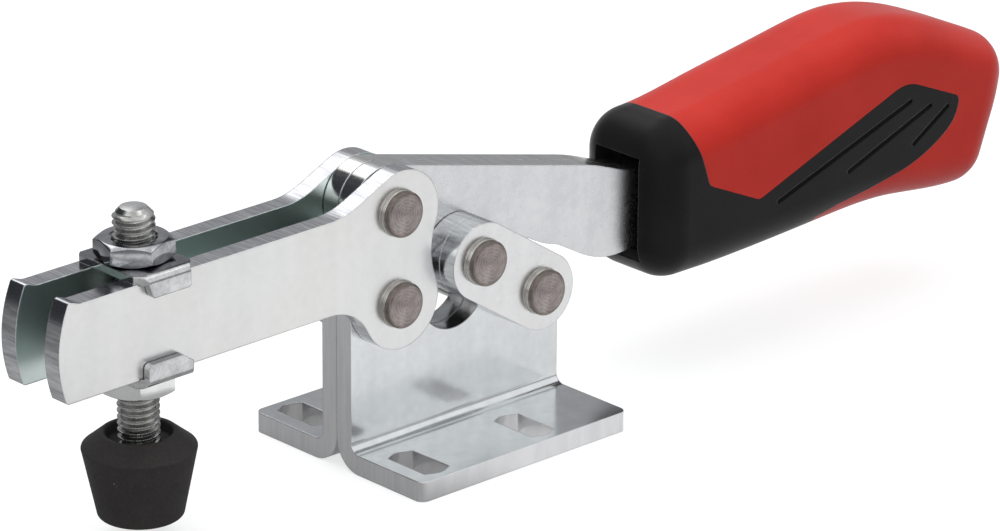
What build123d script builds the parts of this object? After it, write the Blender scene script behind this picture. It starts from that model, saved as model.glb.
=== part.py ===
from build123d import *
import math
import os

# A horizontal hold-down toggle clamp, closed. X runs along the clamp with the grip at +X,
# Y is across it, and Z is up from the base's underside. It is drawn with X = 0 at the
# middle of the base, and saved with the origin midway between the front pair of slots.

SHEET = 4.0  # thickness of every pressed plate
GAP = 0.05  # half the gap between two plates lying back to back
ARM_Y = (4.15, 8.15)  # arm plates and inner link plates
LINK_Y = (8.2, 12.2)  # outer link plates

BASE_X = 26.5  # half length of the base
BASE_Y = 23.75  # half width of the base
BEND_IN = 2.0
SLOT_FRONT_X = -20.0
SLOT_REAR_X = 7.0
SLOT_Y = 15.75
SLOT_LONG = 12.4
SLOT_WIDE = 6.2
SLOT_TIP_R = 3.1
SLOT_TIP_DEG = 25.0

ARM_BASE = (-18.0, 33.0)  # pivots as (X, Z)
ARM_HANDLE = (-18.0, 51.0)
HANDLE_LINK = (-0.4, 38.0)
LINK_BASE = (14.7, 28.2)

BUSH_R = 4.5
BORE_R = 4.55
SHANK_R = 3.0
HEAD_R = 4.45
BUSH_OUT = 0.8  # how far a bush stands out of the outer plate
HEAD_T = 1.1

TILT = 0.5  # degrees by which the arm rises towards the rear
SPINDLE_X = -74.2
SPINDLE_Z = 43.6785
ARM_HALF = 9.19  # half the arm's height at the spindle
SCREW_R = 3.93
NUT_BORE_R = 4.0
NUT_AF = 13.0
NUT_T = 4.0
WASHER_T = 1.5
WASHER_L = 6.6  # half length along the arm

GRIP_W = 12.3  # half width of the grip
GRIP_FRONT = 45.7
GRIP_R = 8.0  # rounding of its long edges
GRIP_CORNER = 8.4  # rounding of the corners in the side view

os.makedirs("parts", exist_ok=True)
SIDE = Plane.XZ  # local x is X, local y is Z, the normal is -Y


def save(name, shape):
    shape = Pos(-SLOT_FRONT_X, 0, 0) * shape
    shape.label = name
    export_step(shape, "parts/" + name + ".step")


def slab(face, y0, y1):
    """A flat face drawn in the side view, made solid between Y=-y0 and Y=-y1."""
    return extrude(Plane.XZ.offset(y0) * face, y1 - y0)


def across(face, y):
    return extrude(Plane.XZ.offset(-y) * face, 2 * y)


def far(shape):
    return mirror(shape, about=Plane.XZ)


def disc(c, r):
    return Pos(c[0], c[1]) * Circle(r)


def on(c, r, deg):
    a = math.radians(deg)
    return (c[0] + r * math.cos(a), c[1] + r * math.sin(a))


def outline(*edges):
    return make_face(Wire(list(edges)))


def rod(c, r, y):
    return across(disc(c, r), y)


def only(shape):
    s = shape.solids()
    return s[0] if len(s) == 1 else Compound(list(s))


# Base: two L-shaped plates back to back, flanges outward. Each wall has a front lug for
# the arm, a U notch for the handle's front end, and a rear lug whose hole is open to the
# rear along the path the link's bush takes.
NOTCH, NOTCH_R = (-0.57, 30.66), 8.31
LUG_R, REAR_R = 8.4, 7.16
SLOT_LO, SLOT_HI = LINK_BASE[1] - 4.76, LINK_BASE[1] + 4.62
JAW_DEG = math.degrees(math.asin((SLOT_HI + 0.32 - LINK_BASE[1]) / REAR_R))
join = on(NOTCH, NOTCH_R, -9.15)
wall = outline(
    Line((-26.4, 0), (-26.4, 33.0)),
    ThreePointArc((-26.4, 33.0), on(ARM_BASE, LUG_R, 95), on(ARM_BASE, LUG_R, 10.5)),
    Line(on(ARM_BASE, LUG_R, 10.5), on(NOTCH, NOTCH_R, 190.5)),
    ThreePointArc(on(NOTCH, NOTCH_R, 190.5), on(NOTCH, NOTCH_R, 270), join),
    ThreePointArc(join, on(LINK_BASE, REAR_R, 110), on(LINK_BASE, REAR_R, JAW_DEG)),
    Line(on(LINK_BASE, REAR_R, JAW_DEG), (LINK_BASE[0] + 1.0, SLOT_HI + 0.05)),
    ThreePointArc(
        (LINK_BASE[0] + 1.0, SLOT_HI + 0.05), on(LINK_BASE, BORE_R, 178), (LINK_BASE[0] + 0.4, SLOT_LO)
    ),
    Line((LINK_BASE[0] + 0.4, SLOT_LO), (BASE_X - 2.0, SLOT_LO)),
    ThreePointArc(
        (BASE_X - 2.0, SLOT_LO), (BASE_X - 0.586, SLOT_LO - 0.586), (BASE_X, SLOT_LO - 2.0)
    ),
    Line((BASE_X, SLOT_LO - 2.0), (BASE_X, 0)),
    Line((BASE_X, 0), (-26.4, 0)),
)
base = slab(wall, GAP, SHEET) - rod(ARM_BASE, BORE_R, 6)
corner = Plane.YZ * outline(
    Line((-GAP, 6.2), (-GAP, BEND_IN + SHEET)),
    ThreePointArc(
        (-GAP, BEND_IN + SHEET),
        (-GAP - 6 * (1 - math.sqrt(0.5)), 6 * (1 - math.sqrt(0.5))),
        (-GAP - 6, 0),
    ),
    Line((-GAP - 6, 0), (-BASE_Y, 0)),
    Line((-BASE_Y, 0), (-BASE_Y, SHEET)),
    Line((-BASE_Y, SHEET), (-SHEET - BEND_IN, SHEET)),
    ThreePointArc(
        (-SHEET - BEND_IN, SHEET),
        (-SHEET - BEND_IN + 2 * math.sin(math.pi / 4), SHEET + 2 - 2 * math.cos(math.pi / 4)),
        (-SHEET, SHEET + BEND_IN),
    ),
    Line((-SHEET, SHEET + BEND_IN), (-SHEET, 6.2)),
    Line((-SHEET, 6.2), (-GAP, 6.2)),
)
foot = extrude(corner, 26.5) + extrude(corner, -26.4)
upper = base & Pos(0, 0, 56.0) * Box(80, 20, 100)
near_base = foot + upper
edges = [e for e in near_base.edges().filter_by(Axis.Z) if e.center().Y < -20]
near_base = fillet(edges, 1.8)
# Slots run along Y. Each end is a shallow arch: a short arc in the middle, running out
# straight to the corners.
half, wide = SLOT_LONG / 2, SLOT_WIDE / 2
tip = math.radians(SLOT_TIP_DEG)
ax, ay = SLOT_TIP_R * math.sin(tip), half - SLOT_TIP_R * (1 - math.cos(tip))
cy = ay - (wide - ax) * math.tan(tip)
slot = outline(
    Line((-wide, -cy), (-wide, cy)),
    Line((-wide, cy), (-ax, ay)),
    ThreePointArc((-ax, ay), (0, half), (ax, ay)),
    Line((ax, ay), (wide, cy)),
    Line((wide, cy), (wide, -cy)),
    Line((wide, -cy), (ax, -ay)),
    ThreePointArc((ax, -ay), (0, -half), (-ax, -ay)),
    Line((-ax, -ay), (-wide, -cy)),
)
for x in (SLOT_FRONT_X, SLOT_REAR_X):
    near_base -= Pos(x, -SLOT_Y, -1) * extrude(slot, 6)
save("base_plate_near", only(near_base))
save("base_plate_far", only(far(near_base)))

# Arm: two equal plates, straight in front, with two round lobes behind.
t = math.tan(math.radians(TILT))
top = lambda x: 52.95 + t * (x + 65.0)
low = lambda x: 34.55 + t * (x + 67.0)
LOBE_T, LOBE_TR = (-17.1, 50.2), 8.85
LOBE_B, LOBE_BR = (-17.4, 33.0), 9.1
HOLLOW, HOLLOW_R = (4.13, 41.562), 14.07  # the hollow between them, touching both
hx, hz = HOLLOW
deg_t = math.degrees(math.atan2(LOBE_T[1] - hz, LOBE_T[0] - hx)) % 360
deg_b = math.degrees(math.atan2(LOBE_B[1] - hz, LOBE_B[0] - hx)) % 360
ramp = on(LOBE_T, LOBE_TR, 90 + 24.9)
k = math.tan(math.radians(24.9))
x_ramp = (ramp[1] - k * ramp[0] - 52.95 - t * 65.0) / (t - k)
foot_l = on(LOBE_B, LOBE_BR, 209.6)
m = 0.869 / -0.494
x_low = (foot_l[1] - m * foot_l[0] - 34.55 - t * 67.0) / (t - m)
P_RAMP, P_LOW = (x_ramp, top(x_ramp)), (x_low, low(x_low))
P_NOSE, P_TIP = (-93.4, top(-93.4)), (-95.9, 53.55)
P_FRONT = (-96.8, low(-96.8))
arm_face = outline(
    ThreePointArc(P_FRONT, (-98.36, 43.3), P_TIP),
    Line(P_TIP, P_NOSE),
    Line(P_NOSE, P_RAMP),
    Line(P_RAMP, ramp),
    ThreePointArc(ramp, on(LOBE_T, LOBE_TR, 50), on(HOLLOW, HOLLOW_R, deg_t)),
    ThreePointArc(
        on(HOLLOW, HOLLOW_R, deg_t),
        on(HOLLOW, HOLLOW_R, (deg_t + deg_b) / 2),
        on(HOLLOW, HOLLOW_R, deg_b),
    ),
    ThreePointArc(on(HOLLOW, HOLLOW_R, deg_b), on(LOBE_B, LOBE_BR, -60), foot_l),
    Line(foot_l, P_LOW),
    Line(P_LOW, P_FRONT),
)


def corner_at(face, p):
    return face.vertices().sort_by_distance(Vector(p[0], p[1], 0))[0]


arm_face = fillet(corner_at(arm_face, P_LOW), 10.0)
arm_face = fillet(corner_at(arm_face, P_RAMP), 16.0)
arm_face = fillet(corner_at(arm_face, P_NOSE), 2.5)
arm_face = fillet(corner_at(arm_face, P_TIP), 0.8)
arm_face = fillet(corner_at(arm_face, P_FRONT), 0.8)
arm = slab(arm_face, *ARM_Y) - rod(ARM_BASE, BUSH_R, 14) - rod(ARM_HANDLE, BUSH_R, 14)
save("arm_plate_near", only(arm))
save("arm_plate_far", only(far(arm)))

# Handle: two plates back to back, hollowed under the pivots to clear both lugs of the
# base, with a tang that runs into the grip.
SL = -13.6
B_R, C_R, A_CLR, D_CLR = 8.0, 7.7, 9.0, 8.2
d_deg = math.degrees(math.atan2(HANDLE_LINK[1] - LINK_BASE[1], HANDLE_LINK[0] - LINK_BASE[0]))
d_off = math.degrees(math.acos((C_R + D_CLR) / math.dist(HANDLE_LINK, LINK_BASE)))
d_in = d_deg - d_off  # where the edge leaves the lug's clearance arc for the boss
b_top = on(ARM_HANDLE, B_R, 90 + SL)
TANG = 98.0
handle_face = outline(
    Line(b_top, (33.46, b_top[1] + (33.46 - b_top[0]) * math.tan(math.radians(SL)))),
    Spline(
        (33.46, b_top[1] + (33.46 - b_top[0]) * math.tan(math.radians(SL))),
        (38.2, 45.35),
        (42.84, 43.66),
        (52.0, 42.4),
        tangents=[(1, math.tan(math.radians(SL))), (1, 0.02)],
    ),
    Line((52.0, 42.4), (TANG, 44.0)),
    Line((TANG, 44.0), (TANG, 30.0)),
    Line((TANG, 30.0), (46.5, 26.65)),
    Spline(
        (46.5, 26.65),
        (41.8, 26.3),
        (37.8, 26.8),
        (33.8, 28.25),
        (29.75, 30.5),
        (26.2, 32.35),
        (23.1, 33.35),
        (20.2, 34.75),
        on(LINK_BASE, D_CLR, 76),
        tangents=[(-1, -0.06), (math.cos(math.radians(166)), math.sin(math.radians(166)))],
    ),
    ThreePointArc(on(LINK_BASE, D_CLR, 76), on(LINK_BASE, D_CLR, 97), on(LINK_BASE, D_CLR, d_in)),
    Line(on(LINK_BASE, D_CLR, d_in), on(HANDLE_LINK, C_R, d_in + 180)),
    ThreePointArc(on(HANDLE_LINK, C_R, d_in + 180), on(HANDLE_LINK, C_R, 260), on(HANDLE_LINK, C_R, 220)),
    Line(on(HANDLE_LINK, C_R, 220), on(ARM_BASE, A_CLR, 40)),
    ThreePointArc(on(ARM_BASE, A_CLR, 40), on(ARM_BASE, A_CLR, 55), on(ARM_BASE, A_CLR, 70.8)),
    Line(on(ARM_BASE, A_CLR, 70.8), on(ARM_HANDLE, B_R, 250.8)),
    ThreePointArc(on(ARM_HANDLE, B_R, 250.8), on(ARM_HANDLE, B_R, 170), b_top),
)
handle = slab(handle_face, GAP, SHEET) - rod(ARM_HANDLE, BORE_R, 14) - rod(HANDLE_LINK, BORE_R, 14)
save("handle_plate_near", only(handle))
save("handle_plate_far", only(far(handle)))

# Link: four equal obround plates, two on each side of the handle.
dx, dz = LINK_BASE[0] - HANDLE_LINK[0], LINK_BASE[1] - HANDLE_LINK[1]
long = math.hypot(dx, dz)
mid = ((LINK_BASE[0] + HANDLE_LINK[0]) / 2, (LINK_BASE[1] + HANDLE_LINK[1]) / 2)
LINK_W = 7.6
LINK_TAIL = 0.5  # extra metal past the pivot at the base
link_face = Pos(*mid) * Rot(0, 0, math.degrees(math.atan2(dz, dx))) * Pos(LINK_TAIL / 2, 0) * SlotCenterToCenter(long + LINK_TAIL, 2 * LINK_W)
for name, ys in (("link_inner", ARM_Y), ("link_outer", LINK_Y)):
    plate = slab(link_face, *ys) - rod(HANDLE_LINK, BUSH_R, 14) - rod(LINK_BASE, BUSH_R, 14)
    save(name + "_near", only(plate))
    save(name + "_far", only(far(plate)))

# Pivots: a bush that stands a little out of the outer plates, and a headed rivet in it.
for name, c, y in (
    ("arm_base", ARM_BASE, ARM_Y[1]),
    ("arm_handle", ARM_HANDLE, ARM_Y[1]),
    ("handle_link", HANDLE_LINK, LINK_Y[1]),
    ("link_base", LINK_BASE, LINK_Y[1]),
):
    end = y + BUSH_OUT
    bush = rod(c, BUSH_R, end) - rod(c, SHANK_R + 0.02, end + 1)
    rims = [e for e in bush.edges().filter_by(GeomType.CIRCLE) if e.radius > 4]
    bush = chamfer(rims, 0.2)
    save(name + "_bush", only(bush))
    rivet = rod(c, SHANK_R, end + 0.1)
    for s in (-1, 1):
        head = Pos(c[0], s * (end + HEAD_T / 2), c[1]) * Rot(90, 0, 0) * Cylinder(HEAD_R, HEAD_T)
        outer = head.edges().filter_by(GeomType.CIRCLE).sort_by(Axis.Y)[-1 if s > 0 else 0]
        rivet += fillet(outer, 0.5)
    save(name + "_rivet", only(rivet))

# Spindle: drawn upright about its own axis, then set on the arm with the arm's tilt.
SPINDLE = Pos(SPINDLE_X, 0, SPINDLE_Z) * Rot(0, -TILT, 0)
SEAT = ARM_HALF + 0.04


def nut(z0, turn):
    hexa = extrude(RegularPolygon(NUT_AF / 2, 6, major_radius=False), NUT_T)
    cone = Pos(0, 0, NUT_T / 2) * Cylinder(7.45, NUT_T)
    cone = chamfer(cone.edges().filter_by(GeomType.CIRCLE), 0.7, 1.1)
    body = (hexa & cone) - Pos(0, 0, NUT_T / 2) * Cylinder(NUT_BORE_R, 10)
    return Pos(0, 0, z0) * Rot(0, 0, turn) * body


def flanged_washer(ends, drop, side):
    """A piece of sheet over both arm plates that narrows to two edges bent down outside
    them. ends holds where the bent edges start and stop, side their outline below."""
    out, bend = 9.8, 1.6
    ys = outline(
        Line((-out, -drop), (-out, WASHER_T - bend)),
        ThreePointArc(
            (-out, WASHER_T - bend),
            (-out + bend * (1 - math.sqrt(0.5)), WASHER_T - bend * (1 - math.sqrt(0.5))),
            (-out + bend, WASHER_T),
        ),
        Line((-out + bend, WASHER_T), (out - bend, WASHER_T)),
        ThreePointArc(
            (out - bend, WASHER_T),
            (out - bend * (1 - math.sqrt(0.5)), WASHER_T - bend * (1 - math.sqrt(0.5))),
            (out, WASHER_T - bend),
        ),
        Line((out, WASHER_T - bend), (out, -drop)),
        Line((out, -drop), (out - WASHER_T, -drop)),
        Line((out - WASHER_T, -drop), (out - WASHER_T, -0.15)),
        ThreePointArc((out - WASHER_T, -0.15), (out - WASHER_T - 0.045, -0.045), (out - WASHER_T - 0.15, 0)),
        Line((out - WASHER_T - 0.15, 0), (-out + WASHER_T + 0.15, 0)),
        ThreePointArc((-out + WASHER_T + 0.15, 0), (-out + WASHER_T + 0.045, -0.045), (-out + WASHER_T, -0.15)),
        Line((-out + WASHER_T, -0.15), (-out + WASHER_T, -drop)),
        Line((-out + WASHER_T, -drop), (-out, -drop)),
    )
    a, b = ends
    plan = make_face(
        Polyline(
            (-WASHER_L, -7.6), (a, -9.6), (a, -12), (b, -12), (b, -9.6), (WASHER_L, -7.6),
            (WASHER_L, 7.6), (b, 9.6), (b, 12), (a, 12), (a, 9.6), (-WASHER_L, 7.6), (-WASHER_L, -7.6),
        )
    )
    body = extrude(Plane.YZ * ys, 10, both=True) & Pos(0, 0, -6) * extrude(plan, 12)
    body &= across(make_face(Polyline((-9, 3), (-9, -0.3), (a, -0.3), *side, (b, -0.3), (9, -0.3), (9, 3), (-9, 3))), 14)
    return body - Cylinder(4.25, 10)


upper_washer = flanged_washer(
    (-4.6, 5.0), 2.75, [(-3.95, -2.3), (-3.55, -2.75), (4.6, -2.75), (5.0, -2.35)]
)
lower_washer = flanged_washer(
    (-5.2, 5.17), 3.15, [(-5.2, -2.2), (-4.95, -2.85), (-4.3, -3.15), (2.83, -3.15), (5.17, -1.53)]
)
save("upper_flanged_washer", only(SPINDLE * Pos(0, 0, SEAT) * upper_washer))
save("lower_flanged_washer", only(SPINDLE * Pos(0, 0, -SEAT) * Rot(180, 0, 0) * lower_washer))
save("upper_nut", only(SPINDLE * nut(SEAT + WASHER_T + 0.02, 43.0)))
save("lower_nut", only(SPINDLE * nut(-SEAT - WASHER_T - 0.02 - NUT_T, -140.8)))

# Clamping screw with its hexagon head inside the rubber cap.
SCREW_TOP = 20.55
CAP_LOW, CAP_BELT, CAP_RIM = -39.48, -26.0, -22.95
HEAD_LOW, HEAD_HIGH = -32.9, -27.6
screw = Pos(0, 0, (HEAD_HIGH + SCREW_TOP) / 2) * Cylinder(SCREW_R, SCREW_TOP - HEAD_HIGH)
screw = chamfer(screw.edges().filter_by(GeomType.CIRCLE).sort_by(Axis.Z)[-1], 1.15)
screw += Pos(0, 0, HEAD_LOW) * extrude(
    RegularPolygon(NUT_AF / 2, 6, major_radius=False), HEAD_HIGH - HEAD_LOW + 0.01
)
save("clamping_screw", only(SPINDLE * screw))

cap = revolve(
    Plane.XZ
    * outline(
        Line((0, CAP_LOW), (8.08 - 1.0, CAP_LOW)),
        ThreePointArc((7.08, CAP_LOW), (7.79, CAP_LOW + 0.29), (8.1, CAP_LOW + 1.0)),
        Line((8.1, CAP_LOW + 1.0), (10.61, CAP_BELT - 0.35)),
        ThreePointArc((10.61, CAP_BELT - 0.35), (10.63, CAP_BELT), (10.36, CAP_BELT + 0.3)),
        Line((10.36, CAP_BELT + 0.3), (7.3, CAP_RIM - 0.25)),
        ThreePointArc((7.3, CAP_RIM - 0.25), (6.75, CAP_RIM), (6.2, CAP_RIM - 0.3)),
        Line((6.2, CAP_RIM - 0.3), (5.9, CAP_RIM - 2.0)),
        Line((5.9, CAP_RIM - 2.0), (3.95, CAP_RIM - 2.4)),
        Line((3.95, CAP_RIM - 2.4), (3.95, HEAD_HIGH + 0.03)),
        Line((3.95, HEAD_HIGH + 0.03), (0, HEAD_HIGH + 0.03)),
        Line((0, HEAD_HIGH + 0.03), (0, CAP_LOW)),
    ),
    Axis.Z,
)
pocket = Pos(0, 0, HEAD_LOW - 0.03) * extrude(
    RegularPolygon(NUT_AF / 2 + 0.03, 6, major_radius=False), HEAD_HIGH - HEAD_LOW + 0.06
)
save("rubber_cap", only(SPINDLE * (cap - pocket)))

# Grip: one rounded body, split into a black core (collar, underside, side inlays and the
# inside) and a red shell over it, with a socket for the tang.
nose = GRIP_FRONT + GRIP_CORNER
NOSE_T, NOSE_B = 43.4, 27.75  # heights of the two front corners' centres
back_t, back_b = (137.9, 41.7), (133.8, 27.6)  # centres of the two rear corners
grip_face = outline(
    Line((GRIP_FRONT, NOSE_B), (GRIP_FRONT, NOSE_T)),
    ThreePointArc(
        (GRIP_FRONT, NOSE_T), on((nose, NOSE_T), GRIP_CORNER, 135), (nose, NOSE_T + GRIP_CORNER)
    ),
    Spline(
        (nose, NOSE_T + GRIP_CORNER),
        (61.6, 52.6),
        (71.2, 54.26),
        (82.3, 56.08),
        (93.5, 57.92),
        (101.5, 59.2),
        (108.6, 59.79),
        (116.3, 59.12),
        (125.4, 56.75),
        (133.5, 53.6),
        on(back_t, 9.1, 64),
        tangents=[(1, 0.06), (math.cos(math.radians(-26)), math.sin(math.radians(-26)))],
    ),
    ThreePointArc(on(back_t, 9.1, 64), on(back_t, 9.1, 28), on(back_t, 9.1, -9)),
    Spline(
        on(back_t, 9.1, -9),
        (145.7, 35.2),
        (143.9, 30.3),
        on(back_b, 8.5, -20.5),
        tangents=[(-0.156, -0.988), (-0.35, -0.937)],
    ),
    ThreePointArc(on(back_b, 8.5, -20.5), on(back_b, 8.5, -55), on(back_b, 8.5, -90)),
    Spline(
        on(back_b, 8.5, -90),
        (125.1, 19.7),
        (119.2, 20.45),
        (113.0, 21.1),
        (106.7, 21.3),
        (95.0, 20.85),
        (83.6, 20.2),
        (72.3, 19.65),
        (62.0, 19.35),
        (nose, NOSE_B - GRIP_CORNER),
        tangents=[(-1, 0), (-1, 0)],
    ),
    ThreePointArc(
        (nose, NOSE_B - GRIP_CORNER), on((nose, NOSE_B), GRIP_CORNER, 225), (GRIP_FRONT, NOSE_B)
    ),
)
grip = across(grip_face, GRIP_W)
sides = [e for e in grip.edges() if abs(abs(e.center().Y) - GRIP_W) < 0.01]
grip = fillet(sides, GRIP_R)

# The seam between the two colours in the side view, from the top down the collar's back
# edge, round the inlay and out through the underside.
P1, P2, P3, P4 = (59.3, 38.4), (73.1, 32.2), (114.6, 47.0), (130.3, 40.45)
red_zone = outline(
    Line((55.2, 70), (55.2, 51.5)),
    Spline((55.2, 51.5), (55.7, 48.6), (57.05, 44.8), (58.3, 41.3), P1, tangents=[(0, -1), (0.33, -0.94)]),
    Line(P1, P2),
    Line(P2, P3),
    Line(P3, P4),
    Spline(
        P4,
        (129.0, 36.2),
        (125.6, 33.1),
        (119.9, 30.2),
        (113.2, 28.2),
        (105.0, 26.5),
        (96.7, 25.2),
        tangents=[(-0.1, -1), (-1, -0.15)],
    ),
    Line((96.7, 25.2), (91.0, 23.6)),
    Line((91.0, 23.6), (91.0, 5)),
    Line((91.0, 5), (160, 5)),
    Line((160, 5), (160, 70)),
    Line((160, 70), (55.2, 70)),
)
for p, r in ((P1, 2.2), (P2, 2.2), (P3, 9.0), (P4, 1.6)):
    red_zone = fillet(corner_at(red_zone, p), r)
inner_face = Polyline(
    (50, 27), (50, 47.5), (76, 50.5), (104, 54), (122, 53.5), (136, 47.5), (142, 39.5),
    (139.5, 31), (133.5, 25.5), (110, 26.5), (80, 25.5), (50, 27),
)
inner = across(fillet(make_face(inner_face).vertices(), 2.0), 9.2)
red = (grip & across(red_zone, 20)) - inner
black = grip - across(red_zone, 20) + (inner & grip)
socket = across(
    outline(
        Line((GRIP_FRONT - 3, 24.1), (GRIP_FRONT - 3, 45.4)),
        Line((GRIP_FRONT - 3, 45.4), (GRIP_FRONT + 5, 45.4)),
        Line((GRIP_FRONT + 5, 45.4), (GRIP_FRONT + 5, 24.1)),
        Line((GRIP_FRONT + 5, 24.1), (GRIP_FRONT - 3, 24.1)),
    ),
    6.0,
)
fit = across(
    outline(
        Line((48, 45.0), (52.0, 42.6)),
        Line((52.0, 42.6), (TANG + 0.2, 44.25)),
        Line((TANG + 0.2, 44.25), (TANG + 0.2, 29.8)),
        Line((TANG + 0.2, 29.8), (48, 26.4)),
        Line((48, 26.4), (48, 45.0)),
    ),
    SHEET + 0.05,
)
black = black - socket - fit
# Three shallow grooves in the inlay on each side.
for p, q in (((78.1, 30.3), (116.2, 42.7)), ((97.9, 31.7), (122.1, 40.5)), ((116.7, 33.0), (127.2, 39.3))):
    d = math.hypot(q[0] - p[0], q[1] - p[1])
    c = ((p[0] + q[0]) / 2, (p[1] + q[1]) / 2)
    bar = Pos(*c) * Rot(0, 0, math.degrees(math.atan2(q[1] - p[1], q[0] - p[0]))) * SlotOverall(d, 1.0)
    cut = slab(bar, GRIP_W - 0.5, GRIP_W + 1)
    black -= cut
    black -= far(cut)
save("grip_core", only(black))
save("grip_shell", only(red))
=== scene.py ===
import math

import bpy
from mathutils import Matrix, Vector


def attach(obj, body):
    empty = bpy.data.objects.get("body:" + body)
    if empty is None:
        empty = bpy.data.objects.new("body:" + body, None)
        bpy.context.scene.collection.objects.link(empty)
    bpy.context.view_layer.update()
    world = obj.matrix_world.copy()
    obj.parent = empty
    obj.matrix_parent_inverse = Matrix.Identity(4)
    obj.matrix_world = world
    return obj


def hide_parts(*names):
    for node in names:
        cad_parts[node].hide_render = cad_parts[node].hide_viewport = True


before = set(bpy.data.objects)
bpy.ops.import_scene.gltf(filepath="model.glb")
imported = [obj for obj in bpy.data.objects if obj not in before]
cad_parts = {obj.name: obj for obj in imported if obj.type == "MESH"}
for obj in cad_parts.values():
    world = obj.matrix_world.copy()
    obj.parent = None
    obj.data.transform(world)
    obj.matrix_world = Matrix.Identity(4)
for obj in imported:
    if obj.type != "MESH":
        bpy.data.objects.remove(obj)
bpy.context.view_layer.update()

# The camera: a long lens on a stand to the front left of the clamp,
# a little above it, so the arm comes forward and the grip goes back.
azimuth, elevation, roll = -43.08, 21.0, 0.41
target = Vector((0.03514, 0.0, 0.02973))
distance = 1.0486
bpy.ops.object.select_all(action="DESELECT")
turn = (
    Matrix.Rotation(math.radians(azimuth), 4, "Z")
    @ Matrix.Rotation(math.radians(90 - elevation), 4, "X")
    @ Matrix.Rotation(math.radians(roll), 4, "Z")
)
back = turn @ Vector((0, 0, 1))
bpy.ops.object.camera_add(location=target + back * distance, rotation=turn.to_euler())
camera = bpy.context.object
camera.data.sensor_width = 36.0
camera.data.lens = 198.0
camera.data.clip_start = 0.05
camera.data.clip_end = 50.0
camera.data.dof.use_dof = False
bpy.context.scene.camera = camera
bpy.context.scene.view_settings.view_transform = "Standard"


# The table: one wide pale sheet that the clamp stands on. It keeps the clamp's
# shadow, and in the metal's mirror image it falls dark away to the left.
def new_material(name):
    material = bpy.data.materials.new(name)
    material.use_nodes = True
    material.node_tree.nodes.clear()
    return material, material.node_tree


def feed(tree, socket, value):
    if hasattr(value, "is_output"):
        tree.links.new(value, socket)
    else:
        socket.default_value = value


def reckon(tree, how, a, b=None, c=None):
    node = tree.nodes.new("ShaderNodeMath")
    node.operation = how
    for i, value in enumerate((a, b, c)):
        if value is not None:
            feed(tree, node.inputs[i], value)
    return node.outputs[0]


def times(tree, a, b):
    return reckon(tree, "MULTIPLY", a, b)


def weighed(tree, *parts):
    total = 0.0
    for share, value in parts:
        total = reckon(tree, "MULTIPLY_ADD", value, share, total)
    return total


def along(tree, where, way):
    node = tree.nodes.new("ShaderNodeVectorMath")
    node.operation = "DOT_PRODUCT"
    tree.links.new(where, node.inputs[0])
    node.inputs[1].default_value = way
    return node.outputs["Value"]


def length_of(tree, where):
    node = tree.nodes.new("ShaderNodeVectorMath")
    node.operation = "LENGTH"
    tree.links.new(where, node.inputs[0])
    return node.outputs["Value"]


def soft_step(tree, value, start, end):
    node = tree.nodes.new("ShaderNodeMapRange")
    node.interpolation_type = "SMOOTHSTEP"
    tree.links.new(value, node.inputs["Value"])
    node.inputs["From Min"].default_value = start
    node.inputs["From Max"].default_value = end
    return node.outputs["Result"]


def seen_and_mirrored(tree):
    path = tree.nodes.new("ShaderNodeLightPath")
    mirrored = reckon(tree, "MAXIMUM", path.outputs["Is Glossy Ray"], path.outputs["Is Transmission Ray"])
    return path.outputs["Is Camera Ray"], mirrored


table_radius, table_drop = 6.0, 0.0001
table_grey, glow_to_camera, glow_to_mirror = 0.45, 0.68, 0.45
darkest = 0.95
bpy.ops.object.select_all(action="DESELECT")
bpy.ops.mesh.primitive_circle_add(vertices=96, radius=table_radius, fill_type="NGON", location=(0, 0, 0))
table = bpy.context.object
table.name = "table"
bpy.ops.object.mode_set(mode="EDIT")
bpy.ops.mesh.select_all(action="SELECT")
bpy.ops.transform.translate(value=(0, 0, -table_drop))
bpy.ops.object.mode_set(mode="OBJECT")
table_paint, tree = new_material("pale_table")
spot = tree.nodes.new("ShaderNodeTexCoord").outputs["Object"]
outward = along(tree, spot, (-0.68, 0.73, 0))
aside = reckon(tree, "ABSOLUTE", reckon(tree, "ADD", along(tree, spot, (0.73, 0.68, 0)), 0.03))
inside_wedge = reckon(tree, "SUBTRACT", reckon(tree, "MULTIPLY_ADD", outward, 0.8, 0.14), aside)
falling = weighed(
    tree,
    (0.22, soft_step(tree, outward, 0.14, 0.21)),
    (0.56, soft_step(tree, outward, -0.035, -0.01)),
)
dark_wedge = times(tree, falling, soft_step(tree, inside_wedge, -0.03, 0.04))
dark_ring = times(tree, soft_step(tree, length_of(tree, spot), 0.30, 0.46), 0.75)
dim = reckon(tree, "MAXIMUM", dark_wedge, dark_ring)
seen, mirrored = seen_and_mirrored(tree)
lit = reckon(tree, "SUBTRACT", 1.0, times(tree, times(tree, dim, darkest), mirrored))
mirror_glow = times(tree, times(tree, mirrored, glow_to_mirror), lit)
matt = tree.nodes.new("ShaderNodeBsdfDiffuse")
tree.links.new(times(tree, lit, table_grey), matt.inputs["Color"])
glow = tree.nodes.new("ShaderNodeEmission")
glow.inputs["Color"].default_value = (1, 1, 1, 1)
tree.links.new(reckon(tree, "MULTIPLY_ADD", seen, glow_to_camera, mirror_glow), glow.inputs["Strength"])
both = tree.nodes.new("ShaderNodeAddShader")
tree.links.new(matt.outputs[0], both.inputs[0])
tree.links.new(glow.outputs[0], both.inputs[1])
tree.links.new(both.outputs[0], tree.nodes.new("ShaderNodeOutputMaterial").inputs["Surface"])
table.data.materials.append(table_paint)


# The room: white walls that turn grey near the floor, a low white panel at the
# right front, and a dark ceiling. One side at the left back and a gap above the
# right back are open and dark, so the plated metal mirrors them black.
def split(tree, vector):
    node = tree.nodes.new("ShaderNodeSeparateXYZ")
    tree.links.new(vector, node.inputs[0])
    return node.outputs


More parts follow.
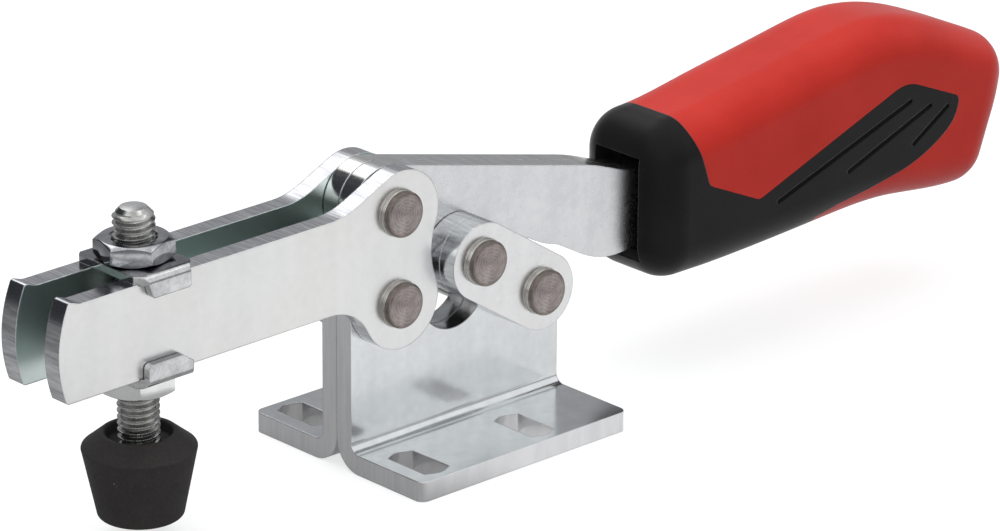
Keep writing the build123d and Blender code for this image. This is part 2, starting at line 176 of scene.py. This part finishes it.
def mixed(tree, how, share, a, b):
    node = tree.nodes.new("ShaderNodeMix")
    node.data_type = "RGBA"
    node.blend_type = how
    for socket, value in ((node.inputs["Factor"], share), (node.inputs["A"], a), (node.inputs["B"], b)):
        feed(tree, socket, (*value, 1) if isinstance(value, tuple) else value)
    return node.outputs["Result"]


def shown_as(tree, share, usual, other):
    node = tree.nodes.new("ShaderNodeMixShader")
    tree.links.new(share, node.inputs["Fac"])
    tree.links.new(usual, node.inputs[1])
    tree.links.new(other, node.inputs[2])
    return node.outputs[0]


horizon_grey, wall_white = (0.37, 0.375, 0.39), (0.93, 0.94, 0.95)
ceiling_dark, open_dark = (0.10, 0.10, 0.10), (0.03, 0.032, 0.038)
open_side, gap_above, panel_side = (-0.554, 0.791, 0.259), (0.689, 0.278, 0.669), (0.68, -0.73, 0)
world = bpy.data.worlds.new("pale_room")
world.use_nodes = True
bpy.context.scene.world = world
tree = world.node_tree
tree.nodes.clear()
heading = tree.nodes.new("ShaderNodeTexCoord").outputs["Generated"]
height = split(tree, heading)["Z"]
in_open_side = soft_step(tree, along(tree, heading, open_side), 0.69, 0.80)
in_gap = times(tree, soft_step(tree, along(tree, heading, gap_above), 0.88, 0.95), 0.95)
in_panel = times(
    tree,
    soft_step(tree, along(tree, heading, panel_side), 0.30, 0.70),
    soft_step(tree, height, 0.13, 0.25),
)
bright = reckon(tree, "MAXIMUM", soft_step(tree, height, 0.42, 0.62), in_panel)
wall = mixed(tree, "MIX", bright, horizon_grey, wall_white)
wall = mixed(tree, "MIX", soft_step(tree, height, 0.82, 0.90), wall, ceiling_dark)
wall = mixed(tree, "MIX", reckon(tree, "MAXIMUM", in_open_side, in_gap), wall, open_dark)
fill = tree.nodes.new("ShaderNodeBackground")
fill.inputs["Color"].default_value = (0.95, 0.97, 1.0, 1)
fill_level = reckon(tree, "MULTIPLY_ADD", soft_step(tree, height, -0.2, 0.9), 0.62, 0.22)
tree.links.new(fill_level, fill.inputs["Strength"])
walls = tree.nodes.new("ShaderNodeBackground")
tree.links.new(wall, walls.inputs["Color"])
white = tree.nodes.new("ShaderNodeBackground")
white.inputs["Color"].default_value = (1, 1, 1, 1)
seen, mirrored = seen_and_mirrored(tree)
room = shown_as(tree, mirrored, fill.outputs[0], walls.outputs[0])
room = shown_as(tree, seen, room, white.outputs[0])
tree.links.new(room, tree.nodes.new("ShaderNodeOutputWorld").inputs["Surface"])

# The lamps: three soft boxes, a wide one overhead, a large one by the
# camera and a small one behind that picks out the top edges.
lamp_aim = Vector((0.02, 0, 0.03))
for name, place, size, watts in (
    ("soft_box_top", (0.1, 0.1, 1.4), (1.9, 1.7), 9.6),
    ("soft_box_front", (-0.9, -1.1, 0.55), (1.0, 0.8), 2.6),
    ("soft_box_rear", (0.18, 0.80, 0.90), (0.6, 0.45), 0.7),
):
    way = Vector(place) - lamp_aim
    bpy.ops.object.light_add(type="AREA", location=place, rotation=way.to_track_quat("Z", "Y").to_euler())
    lamp = bpy.context.object
    lamp.name = name
    lamp.data.shape = "RECTANGLE"
    lamp.data.size, lamp.data.size_y = size
    lamp.data.energy = watts


# Base: two angle plates of 4 mm steel sheet, pierced and bent, then bright
# zinc plated. The rolled faces are satin and faintly mottled, the sheared
# edges bright with fine tear marks across them.
def noise(tree, where, scale, detail=4.0, rough=0.55, stretch=None):
    if stretch is not None:
        squeeze = tree.nodes.new("ShaderNodeMapping")
        squeeze.inputs["Scale"].default_value = stretch
        tree.links.new(where, squeeze.inputs["Vector"])
        where = squeeze.outputs[0]
    node = tree.nodes.new("ShaderNodeTexNoise")
    node.inputs["Scale"].default_value = scale
    node.inputs["Detail"].default_value = detail
    node.inputs["Roughness"].default_value = rough
    tree.links.new(where, node.inputs["Vector"])
    return node.outputs["Fac"]


def shades(tree, value, *stops):
    node = tree.nodes.new("ShaderNodeValToRGB")
    points = node.color_ramp.elements
    while len(points) < len(stops):
        points.new(0.5)
    for point, (place, colour) in zip(points, stops):
        point.position = place
        point.color = (*colour, 1) if isinstance(colour, tuple) else (colour, colour, colour, 1)
    tree.links.new(value, node.inputs["Fac"])
    return node.outputs["Color"]


def finish_surface(tree, shader, grain, depth, strength, edge_radius):
    bump = tree.nodes.new("ShaderNodeBump")
    bump.inputs["Strength"].default_value = strength
    bump.inputs["Distance"].default_value = depth
    tree.links.new(grain, bump.inputs["Height"])
    if edge_radius:
        rounded = tree.nodes.new("ShaderNodeBevel")
        rounded.samples = 6
        rounded.inputs["Radius"].default_value = edge_radius
        tree.links.new(rounded.outputs[0], bump.inputs["Normal"])
    tree.links.new(bump.outputs[0], shader.inputs["Normal"])
    tree.links.new(shader.outputs[0], tree.nodes.new("ShaderNodeOutputMaterial").inputs["Surface"])


def metal(tree, colour, roughness, grain, depth, strength, edge_radius):
    shader = tree.nodes.new("ShaderNodeBsdfPrincipled")
    shader.inputs["Metallic"].default_value = 1.0
    tree.links.new(colour, shader.inputs["Base Color"])
    tree.links.new(roughness, shader.inputs["Roughness"])
    finish_surface(tree, shader, grain, depth, strength, edge_radius)


def zinc_sheet(name, face, cut_edge, gloss, tears, bent=False, inner_shade=None, warm=0.0):
    material, tree = new_material(name)
    place = tree.nodes.new("ShaderNodeTexCoord")
    where = place.outputs["Object"]
    facing = split(tree, place.outputs["Normal"])
    from_middle = reckon(tree, "ABSOLUTE", split(tree, where)["Y"])
    if bent:
        end = soft_step(tree, reckon(tree, "ABSOLUTE", facing["X"]), 0.3, 0.6)
        upright = soft_step(tree, reckon(tree, "ABSOLUTE", facing["Z"]), 0.5, 0.3)
        on_flange = soft_step(tree, from_middle, 0.0085, 0.0095)
        on_edge = reckon(tree, "MAXIMUM", end, times(tree, upright, on_flange))
    else:
        on_edge = soft_step(tree, reckon(tree, "ABSOLUTE", facing["Y"]), 0.92, 0.75)
    cloud = noise(tree, where, 70, 4)
    mottle = noise(tree, where, 600, 4, 0.6)
    streak = noise(tree, where, 1.0, 3, 0.5, (260, 260, 34))
    fine = noise(tree, where, 4200, 2)
    blotch = weighed(tree, (0.35, cloud), (0.35, mottle), (0.30, streak))
    face_colour = shades(tree, blotch, (0.36, face[0]), (0.62, face[1]))
    if warm:
        straw = shades(tree, noise(tree, where, 38, 2), (0.45, 0.0), (0.75, warm))
        face_colour = mixed(tree, "MULTIPLY", straw, face_colour, (1.0, 0.97, 0.91))
    tear = noise(tree, where, 1.0, 4, 0.6, tears)
    band = noise(tree, where, 0.3, 2, 0.5, tears)
    torn = weighed(tree, (0.60, tear), (0.40, band))
    edge_colour = shades(tree, torn, (0.36, cut_edge[0]), (0.62, cut_edge[1]))
    # painted shade: faces nearer the middle than the given depth (the arm plates' inner faces) are multiplied
    # by a dark teal tint
    if inner_shade is not None:
        depth, shade_tint = inner_shade
        face_colour = mixed(tree, "MULTIPLY", reckon(tree, "LESS_THAN", from_middle, depth), face_colour, shade_tint)
    colour = mixed(tree, "MIX", on_edge, face_colour, edge_colour)
    face_rough = shades(tree, blotch, (0.35, gloss * 1.1), (0.65, gloss * 0.92))
    edge_rough = shades(tree, torn, (0.35, 0.26), (0.62, 0.13))
    roughness = mixed(tree, "MIX", on_edge, face_rough, edge_rough)
    grain = mixed(tree, "MIX", on_edge, mixed(tree, "MIX", 0.35, fine, mottle), torn)
    metal(tree, colour, roughness, grain, depth=0.00002, strength=0.22, edge_radius=0.00035)
    return material


def wear(node_name, material):
    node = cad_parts[node_name]
    node.data.materials.clear()
    node.data.materials.append(material)


base_zinc = zinc_sheet(
    "zinc_plated_base",
    face=((0.69, 0.71, 0.72), (0.79, 0.81, 0.815)),
    cut_edge=((0.72, 0.72, 0.73), (0.80, 0.80, 0.805)),
    gloss=0.17,
    tears=(420, 1500, 110),
    bent=True,
)
for side in ("_near", "_far"):
    wear("base_plate" + side, base_zinc)

# Arm: two pressed plates of the same sheet, which hold the clamping screw
# between them. Their inner faces are darkened and tinted teal as painted shade.
arm_zinc = zinc_sheet(
    "zinc_plated_arm",
    face=((0.78, 0.78, 0.775), (0.84, 0.84, 0.835)),
    cut_edge=((0.42, 0.42, 0.455), (0.80, 0.805, 0.81)),
    gloss=0.30,
    tears=(2300, 160, 2300),
    # painted shade for the inner faces between the two plates
    inner_shade=(0.0043, (0.82, 0.93, 0.91)),
    warm=0.35,
)
for side in ("_near", "_far"):
    wear("arm_plate" + side, arm_zinc)

# Handle: two pressed plates side by side, cranked down behind the arm and
# ending in the tang that the grip is moulded on.
handle_zinc = zinc_sheet(
    "zinc_plated_handle",
    face=((0.66, 0.665, 0.68), (0.76, 0.765, 0.775)),
    cut_edge=((0.66, 0.655, 0.64), (0.86, 0.855, 0.84)),
    gloss=0.27,
    tears=(1500, 160, 1500),
)
for side in ("_near", "_far"):
    wear("handle_plate" + side, handle_zinc)

# Links: four short plates, a pair inside and a pair outside, that lock the
# handle over its dead centre against the base.
link_zinc = zinc_sheet(
    "zinc_plated_link",
    face=((0.76, 0.76, 0.76), (0.83, 0.83, 0.83)),
    cut_edge=((0.44, 0.45, 0.475), (0.80, 0.82, 0.82)),
    gloss=0.26,
    tears=(1500, 160, 1500),
)
for part in ("link_inner", "link_outer"):
    for side in ("_near", "_far"):
        wear(part + side, link_zinc)

# Pivots: hardened bushes ground bright, and in each a stainless rivet turned
# flat, with fine brownish turning rings on its two heads.
pivots_mm = {
    "arm_base": (2.0, 33.0),
    "arm_handle": (2.0, 51.0),
    "handle_link": (19.6, 38.0),
    "link_base": (34.7, 28.2),
}
ring_wave = 9500.0  # radians per metre, so a ring every 0.66 mm
ring_wobble = 0.0030
head_rim_dark_from, head_rim_dark_to = 0.0034, 0.0043
rivet_dark, rivet_mid, rivet_pale = (0.20, 0.172, 0.165), (0.30, 0.262, 0.250), (0.42, 0.378, 0.362)


def turned_rivet(name, centre_mm):
    material, tree = new_material(name)
    shift = tree.nodes.new("ShaderNodeMapping")
    shift.inputs["Location"].default_value = (-centre_mm[0] / 1000, 0, -centre_mm[1] / 1000)
    shift.inputs["Scale"].default_value = (1, 0, 1)
    tree.links.new(tree.nodes.new("ShaderNodeTexCoord").outputs["Object"], shift.inputs["Vector"])
    where = shift.outputs[0]
    radius = length_of(tree, where)
    uneven = reckon(tree, "MULTIPLY_ADD", noise(tree, where, 300, 3), ring_wobble, radius)
    wave = reckon(tree, "SINE", times(tree, uneven, ring_wave))
    rings = reckon(tree, "MULTIPLY_ADD", wave, 0.5, 0.5)
    cloud = noise(tree, where, 330, 4, 0.6)
    swirl = weighed(tree, (0.88, cloud), (0.12, rings))
    colour = shades(tree, swirl, (0.30, rivet_dark), (0.50, rivet_mid), (0.70, rivet_pale))
    # each head is painted darker and browner towards its rim
    rim_darker = mixed(tree, "MULTIPLY", 0.8, colour, (0.62, 0.60, 0.55))
    colour = mixed(tree, "MIX", soft_step(tree, radius, head_rim_dark_from, head_rim_dark_to), colour, rim_darker)
    roughness = shades(tree, swirl, (0.3, 0.42), (0.7, 0.30))
    metal(tree, colour, roughness, swirl, depth=0.00004, strength=0.35, edge_radius=0.0004)
    return material


bush_steel, tree = new_material("ground_bush")
where = tree.nodes.new("ShaderNodeTexCoord").outputs["Object"]
ground = noise(tree, where, 1.0, 4, 0.6, (160, 2600, 160))
patch = weighed(tree, (0.5, noise(tree, where, 500, 3)), (0.5, ground))
bush_colour = shades(tree, patch, (0.32, (0.34, 0.33, 0.30)), (0.66, (0.58, 0.57, 0.54)))
bush_rough = shades(tree, ground, (0.3, 0.30), (0.7, 0.18))
metal(tree, bush_colour, bush_rough, ground, depth=0.00001, strength=0.2, edge_radius=0.0002)
for pivot, centre_mm in pivots_mm.items():
    wear(pivot + "_bush", bush_steel)
    wear(pivot + "_rivet", turned_rivet("turned_rivet_" + pivot, centre_mm))


# Flanged washers: two bent strips that ride on the arm's top and bottom
# edges, with flanges over its sides, barrel plated and so a little patchy.
def barrel_zinc(name, low, high, gloss, edge_radius=0.0, painted_top_shade=1.0):
    material, tree = new_material(name)
    place = tree.nodes.new("ShaderNodeTexCoord")
    where = place.outputs["Object"]
    cloud = noise(tree, where, 260, 4, 0.6)
    knocks = noise(tree, where, 1500, 3, 0.6)
    patch = weighed(tree, (0.65, cloud), (0.35, knocks))
    colour = shades(tree, patch, (0.34, low), (0.64, high))
    # painted shade: faces that lie flat and face up are darkened by this factor
    if painted_top_shade < 1:
        faces_up = soft_step(tree, along(tree, place.outputs["Normal"], (0, 0, 1)), 0.97, 0.999)
        colour = mixed(tree, "MULTIPLY", faces_up, colour, (painted_top_shade, painted_top_shade, painted_top_shade * 1.03))
    roughness = shades(tree, patch, (0.35, gloss * 1.3), (0.65, gloss * 0.8))
    metal(tree, colour, roughness, patch, depth=0.00003, strength=0.3, edge_radius=edge_radius)
    return material


washer_zinc = barrel_zinc(
    "barrel_zinc_washer",
    low=(0.48, 0.48, 0.485),
    high=(0.74, 0.74, 0.74),
    gloss=0.11,
    edge_radius=0.0004,
    # painted shade on the washers' upward faces
    painted_top_shade=0.42,
)
for part in ("upper_flanged_washer", "lower_flanged_washer"):
    wear(part, washer_zinc)

# Nuts: two thin 13 mm hexagon nuts that lock the screw in the washers,
# cold formed, with both faces chamfered, the bore countersunk, then plated.
across_flats, nut_thick, nut_from_middle = 0.013, 0.004, 0.01275
spindle_middle, arm_tilt = (-0.0542, 0, 0.0436785), math.radians(-0.5)


def only(*pieces):
    bpy.ops.object.select_all(action="DESELECT")
    for piece in pieces:
        piece.select_set(True)
    bpy.context.view_layer.objects.active = pieces[-1]


def pick_faces(piece, test):
    bpy.ops.object.mode_set(mode="EDIT")
    bpy.ops.mesh.select_mode(type="FACE")
    bpy.ops.mesh.select_all(action="DESELECT")
    bpy.ops.object.mode_set(mode="OBJECT")
    for face in piece.data.polygons:
        face.select = test(face)
    bpy.ops.object.mode_set(mode="EDIT")


def cut_with(piece, tool, how):
    only(piece)
    cut = piece.modifiers.new("cut", "BOOLEAN")
    cut.operation = how
    cut.solver = "EXACT"
    cut.object = tool
    bpy.ops.object.modifier_apply(modifier="cut")
    bpy.data.objects.remove(tool)


def hexagon_bar(length, height, turned=0.0):
    bpy.ops.object.select_all(action="DESELECT")
    bpy.ops.mesh.primitive_cylinder_add(
        vertices=6,
        radius=across_flats / 2 / math.cos(math.radians(30)),
        depth=length,
        location=(0, 0, height),
        rotation=(0, 0, math.radians(turned)),
    )
    bar = bpy.context.object
    bpy.ops.object.transform_apply(location=True, rotation=True, scale=True)
    return bar


def coned_drum(radius, depth, height, lip, end_radius):
    bpy.ops.object.select_all(action="DESELECT")
    bpy.ops.mesh.primitive_cylinder_add(vertices=96, radius=radius, depth=depth, location=(0, 0, height))
    drum = bpy.context.object
    bpy.ops.object.transform_apply(location=True, rotation=True, scale=True)
    share = end_radius / radius
    for side in (1, -1):
        pick_faces(drum, lambda face: face.normal.z * side > 0.9)
        bpy.ops.mesh.extrude_region_move(TRANSFORM_OT_translate={"value": (0, 0, lip * side)})
        bpy.ops.transform.resize(value=(share, share, 1), center_override=(0, 0, height))
        bpy.ops.object.mode_set(mode="OBJECT")
    return drum


def set_on_spindle(piece, smooth_up_to):
    only(piece)
    piece.location = spindle_middle
    piece.rotation_euler = (0, arm_tilt, 0)
    bpy.ops.object.transform_apply(location=True, rotation=True, scale=True)
    bpy.ops.object.shade_smooth_by_angle(angle=math.radians(smooth_up_to))


def thin_nut(name, height, turned, finish):
    nut = hexagon_bar(nut_thick, height, turned)
    chamfered = coned_drum(radius=0.0076, depth=0.0024, height=height, lip=0.0008, end_radius=0.0062)
    cut_with(nut, chamfered, "INTERSECT")
    countersunk_bore = coned_drum(radius=0.0040, depth=0.0031, height=height, lip=0.0006, end_radius=0.0046)
    cut_with(nut, countersunk_bore, "DIFFERENCE")
    edge = nut.modifiers.new("edge", "BEVEL")
    edge.width = 0.00012
    edge.segments = 2
    edge.limit_method = "ANGLE"
    edge.angle_limit = math.radians(20)
    bpy.ops.object.modifier_apply(modifier="edge")
    set_on_spindle(nut, smooth_up_to=25)
    nut.name = name + "_formed"
    nut.data.materials.clear()
    nut.data.materials.append(finish)
    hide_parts(name)
    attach(nut, "spindle_carrier")


# painted light: one nut finish in two copies, painted darker on the upper nut and lighter on the lower, for how
# each is lit
shaded_nut_zinc = barrel_zinc("barrel_zinc_upper_nut", low=(0.30, 0.30, 0.32), high=(0.54, 0.54, 0.56), gloss=0.14)
lit_nut_zinc = barrel_zinc("barrel_zinc_lower_nut", low=(0.78, 0.78, 0.775), high=(0.88, 0.88, 0.87), gloss=0.15)
thin_nut("upper_nut", nut_from_middle, turned=-14.3, finish=shaded_nut_zinc)
thin_nut("lower_nut", -nut_from_middle, turned=24.4, finish=lit_nut_zinc)

# Clamping screw: an M8 stud with its thread rolled all along and a small
# turned chamfer on top, bright zinc plated, and a hexagon head that the cap hides.
screw_top, screw_low, head_low = 0.02055, -0.0276, -0.0329
pitch, crest, root, thread_turns = 0.00125, 0.00393, 0.00320, 42
thread_depth = crest - root
root_flat, flank, crest_flat = 0.25 * pitch, 0.3125 * pitch, 0.125 * pitch
bpy.ops.object.select_all(action="DESELECT")
bpy.ops.mesh.primitive_plane_add(size=0.001, location=(0, 0, 0))
thread = bpy.context.object
bpy.ops.object.mode_set(mode="EDIT")
bpy.ops.mesh.select_mode(type="VERT")
bpy.ops.mesh.select_all(action="SELECT")
bpy.ops.mesh.merge(type="CENTER")
bpy.ops.transform.translate(value=(root, 0, screw_low - 2 * pitch))
for out, up in ((0, root_flat), (thread_depth, flank), (0, crest_flat), (-thread_depth, flank)):
    bpy.ops.mesh.extrude_region_move(TRANSFORM_OT_translate={"value": (out, 0, up)})
bpy.ops.object.mode_set(mode="OBJECT")
rolled = thread.modifiers.new("rolled", "SCREW")
rolled.axis = "Z"
rolled.angle = math.radians(360)
rolled.screw_offset = pitch
rolled.iterations = thread_turns
rolled.steps = rolled.render_steps = 48
bpy.ops.object.modifier_apply(modifier="rolled")
bpy.ops.object.mode_set(mode="EDIT")
bpy.ops.mesh.select_all(action="SELECT")
bpy.ops.mesh.remove_doubles(threshold=0.000005)
above_dome = screw_top + 0.0006
for height, side in ((screw_low, -1), (above_dome, 1)):
    bpy.ops.mesh.select_all(action="SELECT")
    bpy.ops.mesh.bisect(
        plane_co=(0, 0, height),
        plane_no=(0, 0, side),
        use_fill=True,
        clear_outer=True,
        threshold=0.0000001,
    )
bpy.ops.mesh.select_all(action="SELECT")
bpy.ops.mesh.normals_make_consistent(inside=False)
bpy.ops.object.mode_set(mode="OBJECT")
rod_end = coned_drum(radius=0.0042, depth=0.0564, height=screw_top - 0.0302, lip=0.0018, end_radius=0.0025)
pick_faces(rod_end, lambda face: face.normal.z > 0.9)
for rise, share in ((0.0001, 0.72), (0.00007, 0.6), (0.00003, 0.4)):
    bpy.ops.mesh.extrude_region_move(TRANSFORM_OT_translate={"value": (0, 0, rise)})
    bpy.ops.transform.resize(value=(share, share, 1), center_override=(0, 0, screw_top))
bpy.ops.object.mode_set(mode="OBJECT")
cut_with(thread, rod_end, "INTERSECT")

head = hexagon_bar(screw_low - head_low, (screw_low + head_low) / 2)
bpy.ops.object.mode_set(mode="EDIT")
bpy.ops.mesh.select_all(action="SELECT")
bpy.ops.mesh.bevel(offset=0.0004, segments=2, affect="EDGES")
bpy.ops.object.mode_set(mode="OBJECT")
only(head, thread)
bpy.ops.object.join()
set_on_spindle(thread, smooth_up_to=28)
thread.name = "threaded_stud"
thread_zinc, tree = new_material("rolled_thread_zinc")
place = tree.nodes.new("ShaderNodeTexCoord")
where = place.outputs["Object"]
rolled_marks = noise(tree, where, 1.0, 4, 0.6, (700, 700, 2600))
patch = weighed(tree, (0.5, noise(tree, where, 380, 3)), (0.5, rolled_marks))
thread_colour = shades(tree, patch, (0.34, (0.34, 0.34, 0.33)), (0.64, (0.60, 0.60, 0.585)))
# painted highlight: faces that look straight up, the stud's domed end, are painted near white
end_highlight_colour = shades(tree, patch, (0.34, (0.80, 0.80, 0.79)), (0.64, (0.92, 0.92, 0.91)))
on_end = soft_step(tree, along(tree, place.outputs["Normal"], (0, 0, 1)), 0.95, 0.99)
screw_colour = mixed(tree, "MIX", on_end, thread_colour, end_highlight_colour)
screw_rough = shades(tree, patch, (0.35, 0.32), (0.65, 0.18))
metal(tree, screw_colour, screw_rough, patch, depth=0.00001, strength=0.25, edge_radius=0.00008)
thread.data.materials.clear()
thread.data.materials.append(thread_zinc)
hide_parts("clamping_screw")
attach(thread, "screw")


# Pressure cap: black rubber moulded round the screw's head, matt with a
# fine grain and a few pale specks of mould dust.
def moulded(name, low, high, rough, grain, depth, shine, bloom, edge_radius=0.0, dust=0.0):
    material, tree = new_material(name)
    where = tree.nodes.new("ShaderNodeTexCoord").outputs["Object"]
    speck = noise(tree, where, grain, 3, 0.6)
    flow = weighed(tree, (0.65, noise(tree, where, 70, 4)), (0.35, speck))
    colour = shades(tree, flow, (0.34, low), (0.66, high))
    if dust:
        crumbs = soft_step(tree, noise(tree, where, 900, 2, 0.5), 0.74, 0.80)
        colour = mixed(tree, "MIX", times(tree, crumbs, dust), colour, (0.30, 0.28, 0.26))
    shader = tree.nodes.new("ShaderNodeBsdfPrincipled")
    shader.inputs["Specular IOR Level"].default_value = shine
    shader.inputs["Sheen Weight"].default_value = bloom
    shader.inputs["Sheen Roughness"].default_value = 0.35
    tree.links.new(colour, shader.inputs["Base Color"])
    roughness = shades(tree, flow, (0.3, rough * 1.12), (0.7, rough * 0.88))
    tree.links.new(roughness, shader.inputs["Roughness"])
    finish_surface(tree, shader, speck, depth, 0.4, edge_radius)
    return material


black_rubber = moulded(
    "black_rubber",
    low=(0.026, 0.023, 0.022),
    high=(0.046, 0.041, 0.039),
    rough=0.66,
    grain=1900,
    depth=0.00008,
    shine=0.30,
    bloom=0.02,
    edge_radius=0.0005,
    dust=0.5,
)
wear("rubber_cap", black_rubber)

# Grip core: black fibre-filled plastic moulded on the tang, with a fine
# spark-eroded grain all over.
black_grip = moulded(
    "black_grip",
    low=(0.007, 0.006, 0.0065),
    high=(0.012, 0.0105, 0.011),
    rough=0.42,
    grain=3200,
    depth=0.00009,
    shine=0.11,
    bloom=0.32,
    edge_radius=0.0004,
)
wear("grip_core", black_grip)

# Grip cover: satin red plastic moulded over the core, which leaves the
# collar, the underside and the sides' inlays bare.
red_grip = moulded(
    "red_grip",
    low=(0.56, 0.026, 0.016),
    high=(0.65, 0.034, 0.022),
    rough=0.43,
    grain=2600,
    depth=0.00003,
    shine=0.14,
    bloom=0.26,
)
wear("grip_shell", red_grip)
